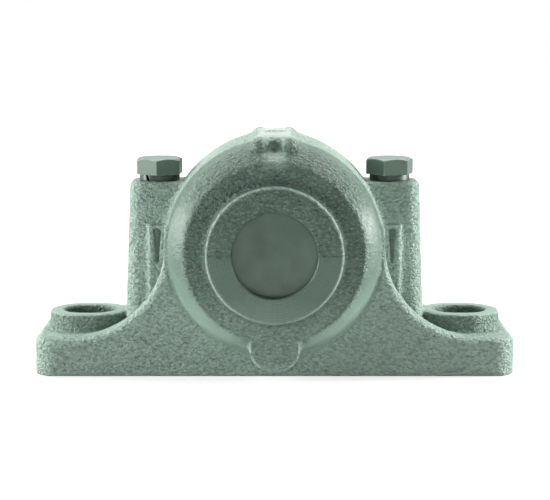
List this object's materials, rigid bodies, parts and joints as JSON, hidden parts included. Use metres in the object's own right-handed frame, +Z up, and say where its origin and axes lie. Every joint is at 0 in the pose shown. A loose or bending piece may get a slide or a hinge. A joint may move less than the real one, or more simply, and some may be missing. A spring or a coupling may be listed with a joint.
{
  "type": "split plummer block",
  "caption": "Split cast-iron plummer block with bolted cap and slotted foot, holding a self-aligning ball bearing on an adapter sleeve for a shaft.",
  "frame": {"origin": "on the underside of the foot, below the middle of the bore and midway between the collars", "axes": "+X along the foot, +Y along the shaft out of the open rear side, +Z up"},
  "size_m": [0.189, 0.082, 0.0943],
  "materials": {
    "painted_casting": "rough cast surface under green-grey paint",
    "painted_cover": "smooth green-grey paint",
    "painted_bolt": "green-grey plated steel",
    "washer_steel": "dark oiled spring steel",
    "bright_steel": "turned steel, lightly oiled",
    "bearing_steel": "ground and polished bearing steel",
    "cage_plastic": "natural moulded polyamide",
    "seal_rubber": "matt black nitrile rubber"
  },
  "bodies": {
    "housing": {"housing_base": "painted_casting", "housing_cap": "painted_casting", "cap_bolt_left": "painted_bolt", "cap_bolt_right": "painted_bolt", "spring_washer_left": "washer_steel", "spring_washer_right": "washer_steel", "dowel_pin_left": "bright_steel", "dowel_pin_right": "bright_steel", "grease_plug": "bright_steel", "end_cover": "painted_cover", "cover_cord": "seal_rubber", "shaft_seal_lower": "seal_rubber", "shaft_seal_upper": "seal_rubber", "locating_ring_front": "bright_steel", "locating_ring_rear": "bright_steel", "bearing_outer_ring": "bearing_steel"},
    "rotor": {"bearing_inner_ring": "bearing_steel", "adapter_sleeve": "bright_steel", "lock_nut": "bright_steel", "lock_washer": "bright_steel"},
    "cage": {"ball_cage": "cage_plastic", "ball_front_01": "bearing_steel", "ball_front_02": "bearing_steel", "ball_front_03": "bearing_steel", "ball_front_04": "bearing_steel", "ball_front_05": "bearing_steel", "ball_front_06": "bearing_steel", "ball_front_07": "bearing_steel", "ball_front_08": "bearing_steel", "ball_front_09": "bearing_steel", "ball_front_10": "bearing_steel", "ball_front_11": "bearing_steel", "ball_front_12": "bearing_steel", "ball_front_13": "bearing_steel", "ball_front_14": "bearing_steel", "ball_front_15": "bearing_steel", "ball_rear_01": "bearing_steel", "ball_rear_02": "bearing_steel", "ball_rear_03": "bearing_steel", "ball_rear_04": "bearing_steel", "ball_rear_05": "bearing_steel", "ball_rear_06": "bearing_steel", "ball_rear_07": "bearing_steel", "ball_rear_08": "bearing_steel", "ball_rear_09": "bearing_steel", "ball_rear_10": "bearing_steel", "ball_rear_11": "bearing_steel", "ball_rear_12": "bearing_steel", "ball_rear_13": "bearing_steel", "ball_rear_14": "bearing_steel", "ball_rear_15": "bearing_steel"}
  },
  "joints": [
    {"name": "inner_ring_spin", "type": "hinge", "parent": "housing", "child": "rotor", "pos_m": [0, 0, 0.05], "axis": [0, 1, 0], "continuous": true},
    {"name": "cage_spin", "type": "hinge", "parent": "housing", "child": "cage", "pos_m": [0, 0, 0.05], "axis": [0, 1, 0], "continuous": true}
  ],
  "couplings": [
    {"joint": "cage_spin", "follows": "inner_ring_spin", "ratio": 0.4193}
  ]
}
